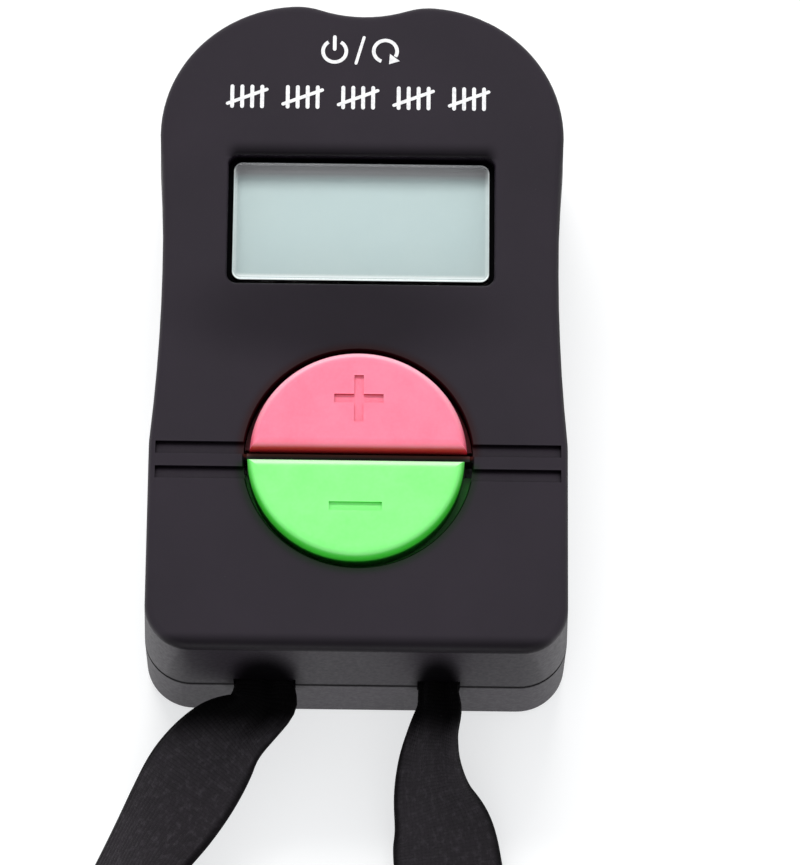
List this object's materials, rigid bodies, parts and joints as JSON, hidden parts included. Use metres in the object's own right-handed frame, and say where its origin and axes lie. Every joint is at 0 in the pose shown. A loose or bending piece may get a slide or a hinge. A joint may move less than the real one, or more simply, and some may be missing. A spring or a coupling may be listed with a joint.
{
  "type": "row counter",
  "caption": "Hand-held electronic row counter with a display window, a plus and a minus half-round key, a reset key in the top notch and a ribbon wrist strap.",
  "frame": {"origin": "centre of the flat back face, at mid length of the case", "axes": "+X to the user's right, +Y towards the notched top end, +Z out through the display"},
  "size_m": [0.0604, 0.1463, 0.0188],
  "materials": {
    "case_black": "fine satin moulding texture, black",
    "lens_clear": "clear polished acrylic",
    "polariser_film": "grey-green film",
    "display_glass": "thin clear glass",
    "reflector_film": "pale grey-green reflector",
    "zebra_rubber": "striped conductive rubber",
    "board_green": "green solder mask on glass fibre",
    "epoxy_black": "black potting epoxy",
    "component_ceramic": "small ceramic chips",
    "contact_gold": "gold-plated pads",
    "key_pink": "soft pink moulded key",
    "key_green": "soft green moulded key",
    "silicone_grey": "pale silicone",
    "carbon_black": "carbon-loaded contact pill",
    "reset_grey": "grey moulded key",
    "switch_black": "switch housing",
    "plunger_white": "switch plunger",
    "cell_steel": "nickel-plated steel can",
    "contact_steel": "nickel-plated spring leaf",
    "cover_black": "same black as the case",
    "screw_steel": "zinc-plated self-tapping screws",
    "strap_fabric": "black woven ribbon"
  },
  "bodies": {
    "case": {"front_shell": "case_black", "rear_shell": "case_black", "display_lens": "lens_clear", "lcd_front_polariser": "polariser_film", "lcd_front_glass": "display_glass", "lcd_rear_glass": "display_glass", "lcd_reflector": "reflector_film", "zebra_connector": "zebra_rubber", "circuit_board": "board_green", "chip_blob": "epoxy_black", "chip_components": "component_ceramic", "contact_pads": "contact_gold", "key_membrane": "silicone_grey", "reset_switch_body": "switch_black", "button_cell": "cell_steel", "cell_negative_contact": "contact_steel", "cell_positive_contact": "contact_steel", "case_screws": "screw_steel", "board_screws": "screw_steel", "strap_anchor": "strap_fabric"},
    "plus_key": {"plus_key": "key_pink", "plus_contact_pill": "carbon_black"},
    "minus_key": {"minus_key": "key_green", "minus_contact_pill": "carbon_black"},
    "reset_key": {"reset_button": "reset_grey", "reset_switch_plunger": "plunger_white"},
    "battery_cover": {"battery_cover": "cover_black"},
    "strap": {"strap_loop": "strap_fabric"}
  },
  "joints": [
    {"name": "plus_press", "type": "slide", "parent": "case", "child": "plus_key", "axis": [0, 0, -1], "range_m": [0, 0.001], "stiffness_N_per_m": 150, "springref_m": -0.0002, "deforming": ["key_membrane"]},
    {"name": "minus_press", "type": "slide", "parent": "case", "child": "minus_key", "axis": [0, 0, -1], "range_m": [0, 0.001], "stiffness_N_per_m": 150, "springref_m": -0.0002, "deforming": ["key_membrane"]},
    {"name": "reset_press", "type": "slide", "parent": "case", "child": "reset_key", "axis": [0, -1, 0], "range_m": [0, 0.0005], "stiffness_N_per_m": 60, "springref_m": -0.0002},
    {"name": "battery_cover_turn", "type": "hinge", "parent": "case", "child": "battery_cover", "pos_m": [0, 0.011, 0.0015], "axis": [0, 0, -1], "range_deg": [0, 40]},
    {"name": "strap_swing", "type": "hinge", "parent": "case", "child": "strap", "pos_m": [0, -0.03255, 0.0084], "axis": [1, 0, 0], "range_deg": [-80, 50]}
  ]
}
